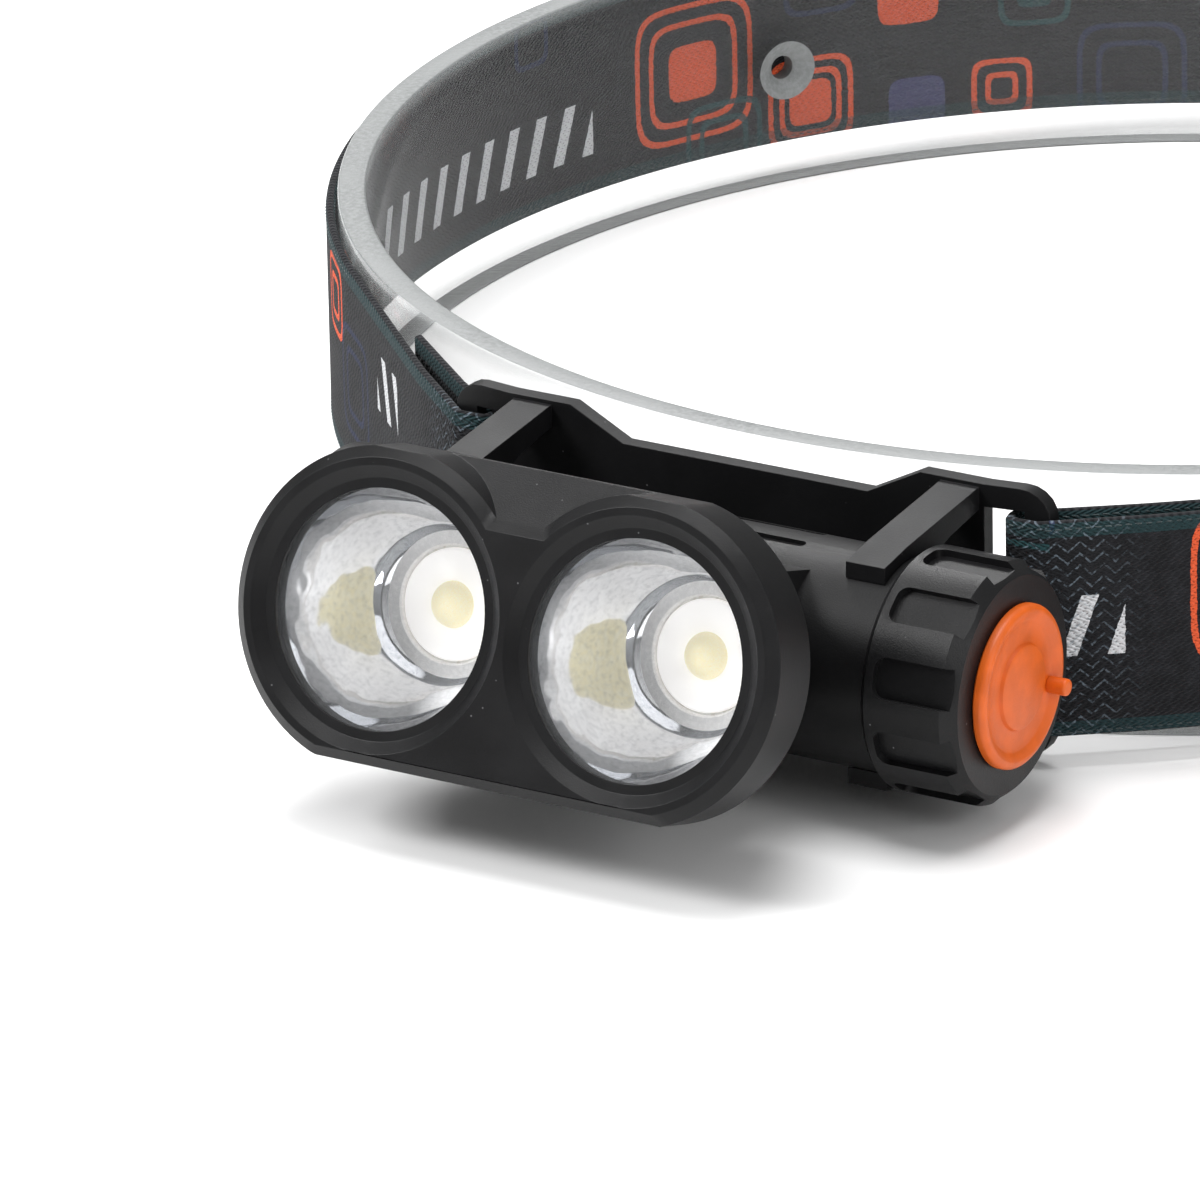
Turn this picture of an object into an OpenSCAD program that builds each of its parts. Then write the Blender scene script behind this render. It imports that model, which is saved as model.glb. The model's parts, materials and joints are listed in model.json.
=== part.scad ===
// Twin-lens rechargeable headlamp on an elastic head strap, with its clear shape-keeping ring.
// Origin: centre of the head loop, at the strap's mid-height. +Z up, the lamp looks along -Y.
// Lamp parts are drawn in the lamp's own axes (x along the battery tube, -Y out of the lenses)
// and placed by at_lamp(), which tilts them about the tube.

/* [Head loop] */
// Radius of the inside of the shape-keeping ring
ring_in_r = 96; // [90:0.5:102]
// Wall of the shape-keeping ring
ring_wall = 3.3; // [3:0.1:4]
// Underside of the shape-keeping ring
ring_low = -16.2; // [-18:0.1:-16]
// Top of the shape-keeping ring
ring_high = 14.3; // [14:0.1:16]
// Width of the elastic strap
strap_w = 25; // [23:0.5:25]
// Thickness of the elastic strap
strap_t = 1; // [0.9:0.05:1.1]

/* [Lamp] */
// Distance from the loop's centre to the battery tube's axis
lamp_y = 119.1; // [118.5:0.1:120]
// Upward tilt of the lamp at rest, in degrees
tilt = 17; // [0:1:30]
// Outer radius of the battery tube
tube_r = 12; // [11.9:0.05:12]
// Bore of the battery tube
bore_r = 9.6; // [9.5:0.05:9.7]
// Distance between the two lens axes
lens_gap = 31.6; // [31:0.1:32]
// Drop of the lens axes below the tube's axis
lens_drop = 0.6; // [0:0.1:1]
// Front of the bezel, measured from the tube's axis
face_d = 37.2; // [36.8:0.1:38]
// Radius of the visible lens opening
open_r = 13; // [12.6:0.1:13.2]
// Outer radius of the bezel round each lens
bezel_r = 17.6; // [17.4:0.1:17.8]

/* [Battery cap] */
// Outer radius of the battery cap
cap_r = 13.4; // [13.3:0.1:13.6]
// Number of grip flutes round the cap
flutes = 10; // [8:1:12]
// Radius of the silicone charging cover
cover_r = 9.05; // [8.8:0.05:9.2]

/* [Bracket] */
// Half length of the bracket's back plate
plate_x = 37.5; // [37:0.1:38]
// Width of each clip arm
arm_w = 4.8; // [4.4:0.1:5]
// Middle of each clip arm along the tube
arm_x = 26.9; // [26.6:0.1:27.1]

/* [Hidden] */

lens_x = lens_gap / 2;              // lens axis from the middle
bezel_back = face_d - 7.5;          // rear edge of the bezel's side wall
bezel_top = 17.3;                   // flat top and bottom of the bezel, from the lens axis
bezel_low = 16.7;
notch_h = 12.1;                     // bottom of the notch between the lenses
glass_r = 14.6;                     // lens pane, its seal and the reflector's flange
glass_back = face_d - 3.4;          // rear face of the lens pane
glass_t = 1.4;
cup_depth = 12.9;                   // reflector, from its flange to its flat bottom
cup_base_r = 8;
led_hole_r = 6.4;
cup_bottom = glass_back - 1 - cup_depth;
board_t = 1.4;
shoulder_x = 30.5;                  // where the tube steps down to its threaded neck
neck_end_x = 38;
neck_r = 11;
cap_face_x = 41.9;
plug_x = -38;                       // joint between the tube and its end plug
plug_end_x = -44.5;
cell_x0 = -33.5;                    // the cell's left end
cell_l = 65;
cell_r = 9.2;
arm_gap = 0.06;                     // running clearance of the tube in the clips
plate_front = 15.4;                 // back plate, measured from the tube's axis
plate_t = 2;
plate_bend = 1.2;                   // how far the plate's ends bend back
bar_w = 3;                          // outer bar of each strap slot
slot_w = 4.6;
slot_x = plate_x - bar_w - slot_w / 2;
strap_r = ring_in_r + ring_wall + 0.4;                // inside of the strap on the ring
slider_gap = 0.35;                  // between the slider's bars and the webbing
slider_bar = 0.9;
slider_t = 4.2;
slider_turn = 96;                   // where the slider sits, in degrees from straight ahead
tail_r = strap_r + strap_t + slider_bar + 2 * slider_gap;     // outer layer of the strap
tail_turn = 118;                    // where the strap's free end is
bar_x = slot_x + slot_w / 2 - strap_t / 2 - 1.2;      // webbing beside the outer bar
fold_l = 22;                        // sewn fold at the left bar, and its direction
fold_a = 41;
bar_front = -lamp_y + plate_front + 0.5;              // outer bar, from the loop's centre
bar_back = -lamp_y + plate_front + plate_bend + plate_t + 0.05;
big = 200;

module at_lamp() translate([0, -lamp_y, 0]) rotate([-tilt, 0, 0]) children();
module along_x(x) translate([x, 0, 0]) rotate([0, 90, 0]) children();
// A lens axis: +Z of the child points out of the lens, z = 0 lies on the tube's axis
module at_lens(side) translate([side * lens_x, 0, -lens_drop]) rotate([90, 0, 0]) children();
// A side view drawn as [distance out of the tube's axis, height], extruded along x
module side_prism(points, x0, x1)
    translate([x0, 0, 0]) rotate([90, 0, 90]) linear_extrude(x1 - x0)
        polygon([for (p = points) [-p[0], p[1]]]);
function arc(cx, cy, r, a0, a1, n) =
    [for (i = [0:n]) let (a = a0 + (a1 - a0) * i / n) [cx + r * cos(a), cy + r * sin(a)]];
function turn(r, a) = [r * sin(a), -r * cos(a)];      // point on the loop, a from straight ahead

// ---------------------------------------------------------------- lamp casing

module flared_box(back, front, r_back, r_front) hull() for (s = [-1, 1])
    at_lens(s) translate([0, 0, back]) cylinder(h = front - back, r1 = r_back, r2 = r_front, $fn = 40);

module grip_grooves() for (a = [-22, 0, 22]) rotate([a, 0, 0]) {
    translate([-16.5, -0.65, tube_r - 0.5]) cube([33, 1.3, 2]);
    for (s = [-1, 1]) translate([s * 16.5, 0, tube_r - 0.5]) cylinder(h = 2, r = 0.65, $fn = 24);
}

module screw_spots() for (h = [-13, 12]) translate([0, -bezel_back, h]) rotate([90, 0, 0])
    children();

module lamp_body() color([0.14, 0.14, 0.15]) at_lamp() difference() {
    union() {
        difference() {
            union() {
                along_x(plug_x) cylinder(h = shoulder_x - plug_x, r = tube_r, $fn = 96);
                along_x(shoulder_x - 1) cylinder(h = neck_end_x - shoulder_x + 1, r = neck_r, $fn = 96);
                translate([-20, -19, -9]) cube([40, 12, 18]);
                flared_box(15.6, bezel_back - 0.02, 9.8, 16.4);
            }
            translate([-18.4, -20, -7.4]) cube([36.8, 9, 14.8]);
            flared_box(17.1, bezel_back + 0.1, 8.2, 15.2);
        }
        screw_spots() translate([0, 0, -7]) cylinder(h = 6.98, r = 2.7, $fn = 40);
    }
    screw_spots() {
        translate([0, 0, -3.8]) cylinder(h = 5, r = 1.1, $fn = 32);
        translate([0, 0, -9]) cylinder(h = 5.3, r = 2, $fn = 32);
    }
    along_x(plug_x - 1) cylinder(h = neck_end_x - plug_x + 2, r = bore_r, $fn = 96);
    for (x = [33.4, 35.2, 37]) neck_groove(x, 0.9, 0.5);
    neck_groove(seal_x, 1.2, seal_deep);
    translate([plug_x - 1, -2.1, -bore_r - 0.55]) cube([neck_end_x - plug_x + 2, 4.2, 2]);
    grip_grooves();
}

module neck_groove(x, w, deep) along_x(x - w / 2) difference() {
    cylinder(h = w, r = neck_r + 1, $fn = 64);
    translate([0, 0, -1]) cylinder(h = w + 2, r = neck_r - deep, $fn = 64);
}

// Bezel body round one lens: a disc with a front chamfer
module bezel_disc() rotate_extrude($fn = 96) polygon([[0, bezel_back], [bezel_r, bezel_back],
    [bezel_r, face_d - 1], [bezel_r - 1.3, face_d], [0, face_d]]);

module front_bezel() color([0.13, 0.13, 0.14]) at_lamp() difference() {
    intersection() {
        union() {
            for (s = [-1, 1]) at_lens(s) bezel_disc();
            translate([0, 0, -lens_drop]) side_prism([[bezel_back, -big], [face_d, -big],
                [face_d, notch_h - 1.3], [face_d - 1, notch_h], [bezel_back + 0.6, bezel_top + 0.2],
                [bezel_back, bezel_top + 0.2]], -lens_x, lens_x);
        }
        translate([0, 0, -lens_drop]) side_prism([[bezel_back, -bezel_low],
            [face_d - 1.2, -bezel_low], [face_d, -bezel_low + 1.2], [face_d, bezel_top - 0.8],
            [face_d - 0.8, bezel_top], [bezel_back, bezel_top]], -big, big);
    }
    for (s = [-1, 1]) at_lens(s) {
        translate([0, 0, bezel_back - 1]) cylinder(h = glass_back + glass_t + 0.6 - bezel_back + 1,
            r = glass_r + 0.1, $fn = 96);
        translate([0, 0, face_d - 3]) cylinder(h = 4, r = open_r, $fn = 96);
        translate([0, 0, face_d - 1]) cylinder(h = 1.05, r1 = open_r + 1.1, r2 = open_r + 2.5, $fn = 96);
    }
    screw_spots() translate([0, 0, -1]) cylinder(h = 4, r = 0.85, $fn = 32);
}

module bezel_screws() color([0.6, 0.6, 0.62]) at_lamp() screw_spots() {
    translate([0, 0, -5.4]) difference() {
        cylinder(h = 1.6, r = 1.8, $fn = 32);
        for (a = [0, 90]) rotate([0, 0, a]) translate([-1.2, -0.25, -0.1]) cube([2.4, 0.5, 0.9]);
    }
    translate([0, 0, -3.9]) cylinder(h = 6.7, r = 0.85, $fn = 32);
}

// ---------------------------------------------------------------- optics

module lens(side) color([0.85, 0.92, 0.95, 0.4]) at_lamp() at_lens(side)
    translate([0, 0, glass_back]) cylinder(h = glass_t, r = glass_r, $fn = 96);

module lens_seal(side) color([0.08, 0.08, 0.08]) at_lamp() at_lens(side)
    translate([0, 0, glass_back + glass_t]) difference() {
        cylinder(h = 0.6, r = glass_r, $fn = 96);
        translate([0, 0, -1]) cylinder(h = 3, r = open_r + 0.25, $fn = 96);
    }

// Deep polished cup, flange forwards, with a flat bottom round the LED
cup_line = [for (i = [0:8]) let (t = i / 8) [cup_base_r + (open_r + 0.1 - cup_base_r) * pow(t, 0.62),
    cup_bottom + 0.9 + (cup_depth + 0.1) * t]];
module reflector(side) color([0.85, 0.86, 0.88]) at_lamp() at_lens(side)
    rotate_extrude($fn = 96) polygon(concat(
        [[led_hole_r, cup_bottom], [led_hole_r, cup_bottom + 0.9]], cup_line,
        [[glass_r, glass_back], [glass_r, glass_back - 1]],
        [for (i = [8:-1:0]) [cup_line[i][0] + 0.8, cup_line[i][1] - 0.9]]));

module led_board(side) color([0.9, 0.9, 0.88]) at_lamp() at_lens(side)
    translate([0, 0, cup_bottom - board_t - 0.05]) cylinder(h = board_t, r = 7.6, $fn = 64);

module led_chip(side) color([0.95, 0.85, 0.4]) at_lamp() at_lens(side)
    translate([-1.75, -1.75, cup_bottom - 0.05]) cube([3.5, 3.5, 0.8]);

module led_gasket(side) color([0.97, 0.97, 0.95]) at_lamp() at_lens(side)
    translate([0, 0, cup_bottom - 0.05]) difference() {
        cylinder(h = 0.9, r = led_hole_r - 0.3, $fn = 64);
        translate([-2, -2, -1]) cube([4, 4, 3]);
    }

module lens_left() lens(-1);
module lens_right() lens(1);
module lens_seal_left() lens_seal(-1);
module lens_seal_right() lens_seal(1);
module reflector_left() reflector(-1);
module reflector_right() reflector(1);
module led_board_left() led_board(-1);
module led_board_right() led_board(1);
module led_left() led_chip(-1);
module led_right() led_chip(1);
module led_gasket_left() led_gasket(-1);
module led_gasket_right() led_gasket(1);

// ---------------------------------------------------------------- electronics

sink_front = cup_bottom - board_t - 0.05;
sink_t = 1.2;
module lead_spots(r) for (s = [-1, 1], p = [-5.5, 5.5]) translate([s * lens_x, -11.8, p - lens_drop])
    rotate([90, 0, 0]) cylinder(h = sink_front - 11.8, r = r, $fn = 16);

module heat_sink() color([0.75, 0.76, 0.78]) at_lamp() difference() {
    translate([-lens_x, -sink_front, -lens_drop - 7.4]) union() {
        cube([2 * lens_x, sink_t, 14.8]);
        for (s = [0, 2]) translate([s * lens_x, sink_t, 7.4]) rotate([90, 0, 0])
            cylinder(h = sink_t, r = 7.4, $fn = 64);
    }
    lead_spots(0.8);
}

module driver_board() color([0.1, 0.35, 0.2]) at_lamp() {
    translate([-17.5, -15.2, -6.8]) cube([35, 1.2, 13.6]);
    translate([-3, -16.4, -3]) cube([6, 1.2, 6]);
    translate([8, -16.7, -2.5]) cube([4, 1.5, 4]);
    translate([-12, -14, -2]) cube([3.2, 1.4, 1.6]);
}

module led_leads() color([0.75, 0.1, 0.1]) at_lamp() difference() {
    lead_spots(0.5);
    translate([-20, -15.25, -10]) cube([40, 5, 20]);
}

module battery_cell() color([0.2, 0.45, 0.75]) at_lamp() {
    along_x(cell_x0) cylinder(h = cell_l - 1, r = cell_r, $fn = 96);
    along_x(cell_x0 + cell_l - 1) cylinder(h = 1, r = 3, $fn = 48);
}

module contact_strip() color([0.8, 0.65, 0.3]) at_lamp()
    translate([plug_x + 1.2, -2, -bore_r - 0.5]) cube([neck_end_x - plug_x - 1.6, 4, 0.35]);

// Round-wire helical spring along x: n turns from x0 to x1, tapering from r0 to r1
function coil_point(u, x0, x1, r0, r1, n) =
    let (r = r0 + (r1 - r0) * u) [x0 + (x1 - x0) * u, r * cos(360 * n * u), r * sin(360 * n * u)];
module coil(x0, x1, r0, r1, n, wire, steps = 60, sides = 6) {
    rings = [for (i = [0:steps]) let (u = i / steps, a = 360 * n * u) [for (k = [0:sides - 1])
        let (b = 360 * k / sides) coil_point(u, x0, x1, r0, r1, n)
            + wire * [sin(b), cos(b) * cos(a), cos(b) * sin(a)]]];
    polyhedron(points = [for (ring = rings) each ring], faces = concat(
        [[for (k = [0:sides - 1]) k]],
        [for (i = [0:steps - 1], k = [0:sides - 1]) let (j = (k + 1) % sides)
            [i * sides + k, (i + 1) * sides + k, (i + 1) * sides + j, i * sides + j]],
        [[for (k = [sides - 1:-1:0]) steps * sides + k]]));
}

board_x = cell_x0 - 3.6;            // front of the switch board
module battery_spring() color([0.8, 0.8, 0.82]) at_lamp()
    coil(board_x + 0.3, cell_x0 - 0.35, 4.2, 3, 2.5, 0.3);

module switch_board() color([0.1, 0.35, 0.2]) at_lamp()
    along_x(board_x - 1.2) cylinder(h = 1.2, r = 9.1, $fn = 64);

module tact_switch() color([0.25, 0.25, 0.27]) at_lamp() {
    translate([board_x - 3.8, -3, -3]) cube([2.6, 6, 6]);
    along_x(board_x - 4.3) cylinder(h = 0.5, r = 1.6, $fn = 32);
}

// Round body with a chamfered outer end at x = 0, opening towards +X
module end_plug() color([0.13, 0.13, 0.14]) at_lamp() translate([plug_end_x, 0, 0]) rotate([0, 90, 0])
    rotate_extrude($fn = 96) polygon([[5.7, 0], [tube_r - 2, 0], [tube_r + 0.2, 2.2],
        [tube_r + 0.2, plug_x - plug_end_x - 0.02], [9.3, plug_x - plug_end_x - 0.02],
        [9.3, 3], [7.4, 3], [7.4, 1.6], [5.7, 1.6]]);

module switch_button() color([0.1, 0.1, 0.1]) at_lamp() translate([plug_end_x - 1, 0, 0])
    rotate([0, 90, 0]) rotate_extrude($fn = 96) polygon([[0, 0], [4.6, 0], [5.4, 0.8], [5.4, 2.7],
        [7.1, 2.7], [7.1, 3.3], [1.8, 3.3], [1.8, 3.2], [0, 3.2]]);

// ---------------------------------------------------------------- battery cap

seal_x = shoulder_x + 1.2;
seal_deep = 0.6;
module cap_seal() color([0.75, 0.25, 0.12]) at_lamp() along_x(seal_x - 0.5) difference() {
    cylinder(h = 1, r = neck_r + 0.04, $fn = 96);
    translate([0, 0, -1]) cylinder(h = 3, r = neck_r - seal_deep + 0.01, $fn = 96);
}

flute_w = 4.5;
flute_deep = 1;
flute_round = 1.2;
// Flat-bottomed grip flutes, closed towards the tube and open at the cap's front chamfer
module cap_flutes() for (i = [0:flutes - 1]) rotate([180 - tilt + i * 360 / flutes, 0, 0])
    translate([0, 0, cap_r - flute_deep]) linear_extrude(3)
        translate([shoulder_x + 1.6 + flute_round, flute_round - flute_w / 2])
            offset(flute_round, $fn = 32) square([12, flute_w - 2 * flute_round]);

module end_cap() color([0.13, 0.13, 0.14]) at_lamp() difference() {
    rotate([0, 90, 0]) rotate_extrude($fn = 120) polygon([[0, shoulder_x + 0.05],
        [cap_r - 0.6, shoulder_x + 0.05], [cap_r, shoulder_x + 0.7], [cap_r, cap_face_x - 1.5],
        [cap_r - 1.4, cap_face_x], [0, cap_face_x]]);
    along_x(shoulder_x - 1) cylinder(h = 38.8 - shoulder_x + 1, r = neck_r + 0.09, $fn = 96);
    along_x(38.7) cylinder(h = 5, r = 6.2, $fn = 64);
    cap_flutes();
}

module cap_spring() color([0.8, 0.8, 0.82]) at_lamp()
    coil(cell_x0 + cell_l + 0.35, charge_x - 0.35, 2.2, 4.6, 2.5, 0.3);

charge_x = 36.2;                    // front of the charging board inside the cap
module charge_board() color([0.1, 0.35, 0.2]) at_lamp() difference() {
    union() {
        along_x(charge_x) cylinder(h = 1.2, r = 9.1, $fn = 64);
        for (s = [-1, 1]) translate([0, s * 7.6, 0]) along_x(charge_x + 1)
            cylinder(h = 38.8 - charge_x - 1, r = 1, $fn = 24);
    }
}

module charge_socket() color([0.7, 0.7, 0.72]) at_lamp() translate([charge_x + 1.2, -4.5, -1.6])
    difference() {
        cube([3.2, 9, 3.2]);
        translate([0.6, 0.35, 0.35]) cube([4, 8.3, 2.5]);
        translate([-1, -1, -1]) cube([0.5, 1, 1]);
    }

// Silicone cover: rounded disc, inner ring, plug and pull peg on the side away from its hinge
module charge_cover() color([0.87, 0.36, 0.14]) at_lamp() {
    translate([cap_face_x + 0.02, 0, 0]) rotate([0, 90, 0]) rotate_extrude($fn = 96) polygon(concat(
        [[0, 0], [cover_r - 0.25, 0], [cover_r, 0.3]], arc(cover_r - 0.7, 0.75, 0.7, 0, 90, 6),
        [[cover_r - 1.7, 1.45], [cover_r - 1.9, 1.15], [4.75, 1.15], [4.55, 1.45], [0, 1.5]]));
    along_x(cap_face_x - 1.2) cylinder(h = 1.4, r = 5.3, $fn = 64);
    translate([0, 6.7, 0]) along_x(cap_face_x + 1) cylinder(h = 2.3, r = 0.95, $fn = 32);
    translate([cap_face_x + 0.35, 0.1 - cover_r, -1.5]) cylinder(h = 3, r = 0.3, $fn = 24);
}

// ---------------------------------------------------------------- bracket

// Front outline of the back plate: high ends, low middle, mirrored below
plate_line = concat([[-15.4, 12.2], [-22, 15.6]], arc(-plate_x + 3.5, 12.1, 3.5, 90, 180, 5));
module plate_outline() polygon(concat(
    plate_line, [for (i = [len(plate_line) - 1:-1:0]) [plate_line[i][0], -plate_line[i][1]]],
    [for (p = plate_line) [-p[0], -p[1]]],
    [for (i = [len(plate_line) - 1:-1:0]) [-plate_line[i][0], plate_line[i][1]]]));

module back_plate() difference() {
    intersection() {
        rotate([90, 0, 0]) translate([0, 0, -30]) linear_extrude(60) plate_outline();
        translate([0, 0, -20]) linear_extrude(40) polygon([
            [-plate_x - 1, plate_front + plate_bend], [-30, plate_front], [30, plate_front],
            [plate_x + 1, plate_front + plate_bend], [plate_x + 1, plate_front + plate_bend + plate_t],
            [30, plate_front + plate_t], [-30, plate_front + plate_t],
            [-plate_x - 1, plate_front + plate_bend + plate_t]]);
    }
    for (s = [-1, 1]) translate([s * slot_x - slot_w / 2, 0, -strap_w / 2 - 0.5])
        cube([slot_w, 40, strap_w + 1]);
}

module clip_arm() difference() {
    for (m = [0, 1]) mirror([0, 0, m]) side_prism([[-plate_front - 0.5, 15.2], [0.3, 13.6],
        [5.2, 12.8], [5.2, 9], [0, 9], [-9, 11.6], [-plate_front - 0.5, 12.6]], -arm_w / 2, arm_w / 2);
    translate([-10, 0, 0]) along_x(0) cylinder(h = 20, r = tube_r + arm_gap, $fn = 96);
}

module bracket() color([0.13, 0.13, 0.14]) translate([0, -lamp_y, 0]) {
    back_plate();
    for (s = [-1, 1]) translate([s * arm_x, 0, 0]) clip_arm();
}

// ---------------------------------------------------------------- strap

module strap_up() translate([0, 0, -strap_w / 2]) linear_extrude(strap_w) children();
// Part of a ring between two turns a few degrees apart
module loop_arc(r, t, a0, a1) intersection() {
    difference() {
        circle(r = r + t, $fn = 180);
        circle(r = r, $fn = 180);
    }
    polygon([[0, 0], turn(big, a0), turn(big, a1)]);
}
// Outline of a strip of thickness t along a path, with mitred bends
function unit(v) = v / norm(v);
function side(path, i) = let (
    j = max(i, 1), k = min(i + 1, len(path) - 1),
    before = unit(path[j] - path[j - 1]), after = unit(path[k] - path[k - 1]),
    m = unit(before + after)) [-m[1], m[0]] / (m * before);
function strip(path, t) = concat(
    [for (i = [0:len(path) - 1]) path[i] + side(path, i) * t / 2],
    [for (i = [len(path) - 1:-1:0]) path[i] - side(path, i) * t / 2]);

// The webbing's middle line round the right bar, from behind it to in front of it
bar_bend = [[plate_x - 1.2, bar_back + 0.65 * strap_t], [bar_x + 1, bar_back + 0.65 * strap_t],
    [bar_x, bar_back - 0.2], [bar_x, bar_front], [bar_x + 0.8, bar_front - 0.65 * strap_t],
    [plate_x + 0.2, bar_front - 0.65 * strap_t + 0.3]];
function touch_turn(p, r) = atan2(p[0], -p[1]) + acos(r / norm(p));
function loop_line(r, a0, a1, n) = [for (i = [0:n]) turn(r, a0 + (a1 - a0) * i / n)];

// One length of webbing: folded round the left bar, round the ring, round the right bar and
// back through the slider, where its free end is
strap_path = let (
    r = strap_r + strap_t / 2, tail = tail_r + strap_t / 2,
    left = [for (p = bar_bend) [-p[0], p[1]]]) concat(
        [left[0] + fold_l * [-cos(fold_a), sin(fold_a)]], left,
        loop_line(r, -touch_turn(bar_bend[5], r), touch_turn(bar_bend[0], r) - 360, 96),
        bar_bend,
        loop_line(tail, touch_turn(bar_bend[5], tail), tail_turn, 30));
module strap_band() color([0.1, 0.11, 0.13]) strap_up() polygon(strip(strap_path, strap_t));

module slider_up(z0, h) for (s = [0, 1]) mirror([0, 0, s]) translate([0, 0, z0]) linear_extrude(h)
    children();
module strap_slider() color([0.12, 0.12, 0.13]) {
    rail_r = strap_r + strap_t + slider_gap;
    slider_up(strap_w / 2 + 0.4, 2) loop_arc(rail_r, slider_t, slider_turn - 5, slider_turn + 5);
    translate([0, 0, -strap_w / 2 - 1]) linear_extrude(strap_w + 2) {
        loop_arc(rail_r, slider_bar, slider_turn - 1.3, slider_turn + 1.3);
        for (s = [-1, 1]) loop_arc(rail_r + slider_t - 1.2, 1.2, slider_turn + s * 4.1 - 0.9,
            slider_turn + s * 4.1 + 0.9);
    }
}

hole_r = 1.5;                       // countersunk hole at the rear left, and its place
sink_r = 3.7;
hole_turn = -30.3;
hole_z = -1.8;
module shape_ring() color([0.9, 0.95, 1, 0.4]) difference() {
    translate([0, 0, ring_low]) cylinder(h = ring_high - ring_low, r = ring_in_r + ring_wall, $fn = 180);
    translate([0, 0, ring_low - 1]) cylinder(h = ring_high - ring_low + 2, r = ring_in_r, $fn = 180);
    rotate([0, 0, hole_turn]) translate([-ring_in_r - ring_wall - 1, 0, hole_z]) rotate([0, 90, 0]) {
        cylinder(h = ring_wall + 2, r = hole_r, $fn = 48);
        translate([0, 0, ring_wall - 0.3]) cylinder(h = 2.6, r1 = hole_r, r2 = 2 * sink_r - hole_r, $fn = 48);
    }
}

lamp_body();
front_bezel();
lens_left();
lens_right();
lens_seal_left();
lens_seal_right();
reflector_left();
reflector_right();
led_gasket_left();
led_gasket_right();
led_left();
led_right();
led_board_left();
led_board_right();
heat_sink();
driver_board();
led_leads();
bezel_screws();
battery_cell();
contact_strip();
battery_spring();
switch_board();
tact_switch();
switch_button();
end_plug();
cap_seal();
end_cap();
cap_spring();
charge_board();
charge_socket();
charge_cover();
bracket();
strap_band();
strap_slider();
shape_ring();
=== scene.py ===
"""Twin-lens headlamp on its clear display ring: looks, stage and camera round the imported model."""
import json
import math

import bmesh
import bpy
from mathutils import Matrix, Vector


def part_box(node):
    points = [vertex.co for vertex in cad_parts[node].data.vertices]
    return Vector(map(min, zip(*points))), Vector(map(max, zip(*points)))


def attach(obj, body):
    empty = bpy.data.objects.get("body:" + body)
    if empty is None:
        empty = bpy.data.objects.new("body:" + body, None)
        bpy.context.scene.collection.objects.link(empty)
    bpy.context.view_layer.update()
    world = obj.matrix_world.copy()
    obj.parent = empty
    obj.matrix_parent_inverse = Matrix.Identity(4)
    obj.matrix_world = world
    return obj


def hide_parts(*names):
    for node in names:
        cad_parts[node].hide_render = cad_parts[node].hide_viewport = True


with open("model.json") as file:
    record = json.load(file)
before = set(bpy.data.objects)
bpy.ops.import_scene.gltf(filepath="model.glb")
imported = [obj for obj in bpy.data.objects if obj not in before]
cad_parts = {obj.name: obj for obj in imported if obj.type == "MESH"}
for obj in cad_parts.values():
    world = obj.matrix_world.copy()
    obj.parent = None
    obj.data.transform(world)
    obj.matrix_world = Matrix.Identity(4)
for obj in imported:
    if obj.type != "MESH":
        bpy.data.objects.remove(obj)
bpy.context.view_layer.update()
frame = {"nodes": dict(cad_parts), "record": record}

bl_info = {
    "name": "Headlamp looks",
    "version": (1, 0, 0),
    "blender": (4, 5, 0),
    "location": "3D View > Sidebar > Headlamp",
    "description": "Finishes a headlamp, its elastic headband and the clear ring that shapes it",
    "category": "Object",
}

MM = 0.001

# ---------------------------------------------------------------- places taken from the frame


def middle(node):
    low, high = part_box(node)
    return (Vector(low) + Vector(high)) / 2


LAMP_TILT = math.radians(17)
TUBE = Vector((0, middle("battery_cell").y, middle("battery_cell").z))
LAMP = Matrix.Translation(TUBE) @ Matrix.Rotation(-LAMP_TILT, 4, "X")
FLOOR_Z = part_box("shape_ring")[0][2]
FLOOR_HALF = 6.0                                      # metres
CAMERA_LENS = 369.3                                   # millimetres
CAMERA_SENSOR = 36
CAMERA_SHIFT = (-0.00807, 0.00185)                    # metres to the right and up
RING_WALL = 3.3                                       # millimetres, as the hole's sizes and height
HOLE_R = 1.5
SINK_R = 3.7
HOLE_Z = -1.8
HOLE_TURN = -30.3                                     # degrees from the ring's left side


def lens_axis(side):
    """Lamp axes moved to a lens, with +Z out of it; side is -1 or 1."""
    lens = bpy.context.scene.lamp_sizes
    place = Matrix.Translation(Vector((side * lens.gap / 2, 0, -lens.drop)) * MM)
    return LAMP @ place @ Matrix.Rotation(math.pi / 2, 4, "X")


def cap_axis(x):
    """Lamp axes moved along the tube, with +Z out of the battery cap."""
    return LAMP @ Matrix.Translation((x * MM, 0, 0)) @ Matrix.Rotation(math.pi / 2, 4, "Y")


# ---------------------------------------------------------------- shader maths


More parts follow.
